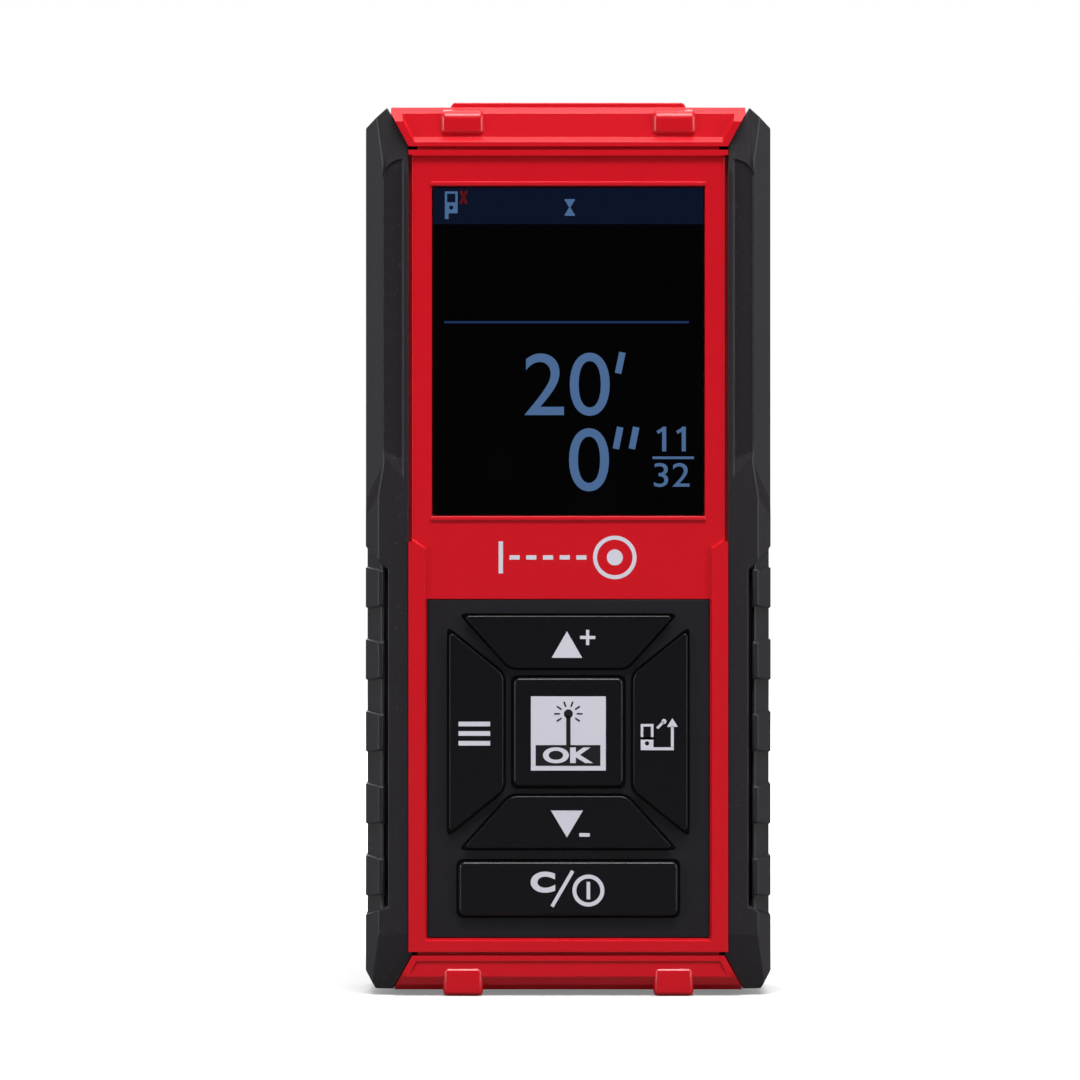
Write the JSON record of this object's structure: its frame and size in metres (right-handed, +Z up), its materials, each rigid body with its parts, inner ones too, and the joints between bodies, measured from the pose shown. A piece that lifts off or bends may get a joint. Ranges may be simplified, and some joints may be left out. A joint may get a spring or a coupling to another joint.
{
  "type": "laser distance meter",
  "caption": "Handheld laser distance meter with a large screen, a ring keypad, soft side grips, end caps with feet, and a hinged battery door.",
  "frame": {"origin": "below the middle of the body, level with the undersides of its feet", "axes": "+Z up the meter from its feet to its optics window, -Y out of the screen, +X to the right of someone reading it"},
  "size_m": [0.056, 0.028, 0.1232],
  "materials": {
    "red_abs": "fine-grained moulded, satin",
    "black_elastomer": "matte moulded",
    "fascia_black": "fine spark-eroded grain",
    "key_black": "matte",
    "clear_cover": "polished",
    "screen": "glossy, with lit figures",
    "foam_black": "closed-cell foam",
    "seal_grey": "matte",
    "silicone_grey": "matte",
    "dome_steel": "bright",
    "board_green": "solder mask",
    "chip_black": "moulded epoxy",
    "part_grey": "ceramic and nylon",
    "polyimide": "satin film",
    "screw_steel": "blackened zinc",
    "chassis_black": "glass-filled, matte",
    "optical_glass": "polished",
    "barrel_brass": "turned",
    "can_gold": "gold-plated",
    "contact_nickel": "nickel-plated spring steel",
    "cell_sleeve": "printed foil sleeve",
    "door_black": "fine-grained moulded, satin"
  },
  "bodies": {
    "meter": {"front_housing": "red_abs", "rear_housing": "red_abs", "housing_seal": "seal_grey", "housing_screws": "screw_steel", "left_grip": "black_elastomer", "right_grip": "black_elastomer", "top_cap": "red_abs", "bottom_cap": "red_abs", "display_window": "clear_cover", "display_gasket": "foam_black", "display_module": "screen", "display_flex": "polyimide", "keypad_fascia": "fascia_black", "keypad_mat": "silicone_grey", "dome_switches": "dome_steel", "main_board": "board_green", "board_screws": "screw_steel", "processor_chip": "chip_black", "board_components": "part_grey", "buzzer": "chip_black", "optics_board": "board_green", "optics_flex": "polyimide", "optics_window": "optical_glass", "optics_chassis": "chassis_black", "chassis_screws": "screw_steel", "receiver_lens": "optical_glass", "receiver_sensor": "can_gold", "laser_barrel": "barrel_brass", "collimator_lens": "optical_glass", "laser_diode": "can_gold", "battery_left": "cell_sleeve", "battery_right": "cell_sleeve", "battery_springs": "contact_nickel", "bridge_contact": "contact_nickel", "positive_contact": "contact_nickel", "negative_contact": "contact_nickel", "door_seal": "seal_grey"},
    "key_up": {"key_up": "key_black"},
    "key_down": {"key_down": "key_black"},
    "key_menu": {"key_menu": "key_black"},
    "key_reference": {"key_reference": "key_black"},
    "key_ok": {"key_ok": "key_black"},
    "key_power": {"key_power": "key_black"},
    "battery_door": {"battery_door": "door_black"}
  },
  "joints": [
    {"name": "key_up_press", "type": "slide", "parent": "meter", "child": "key_up", "axis": [0, 1, 0], "range_m": [0, 0.0006], "stiffness_N_per_m": 1500, "springref_m": -0.0003},
    {"name": "key_down_press", "type": "slide", "parent": "meter", "child": "key_down", "axis": [0, 1, 0], "range_m": [0, 0.0006], "stiffness_N_per_m": 1500, "springref_m": -0.0003},
    {"name": "key_menu_press", "type": "slide", "parent": "meter", "child": "key_menu", "axis": [0, 1, 0], "range_m": [0, 0.0006], "stiffness_N_per_m": 1500, "springref_m": -0.0003},
    {"name": "key_reference_press", "type": "slide", "parent": "meter", "child": "key_reference", "axis": [0, 1, 0], "range_m": [0, 0.0006], "stiffness_N_per_m": 1500, "springref_m": -0.0003},
    {"name": "key_ok_press", "type": "slide", "parent": "meter", "child": "key_ok", "axis": [0, 1, 0], "range_m": [0, 0.0006], "stiffness_N_per_m": 1500, "springref_m": -0.0003},
    {"name": "key_power_press", "type": "slide", "parent": "meter", "child": "key_power", "axis": [0, 1, 0], "range_m": [0, 0.0006], "stiffness_N_per_m": 1500, "springref_m": -0.0003},
    {"name": "door_hinge", "type": "hinge", "parent": "meter", "child": "battery_door", "pos_m": [0, 0.01295, 0.00975], "axis": [-1, 0, 0], "range_deg": [0, 80]}
  ]
}
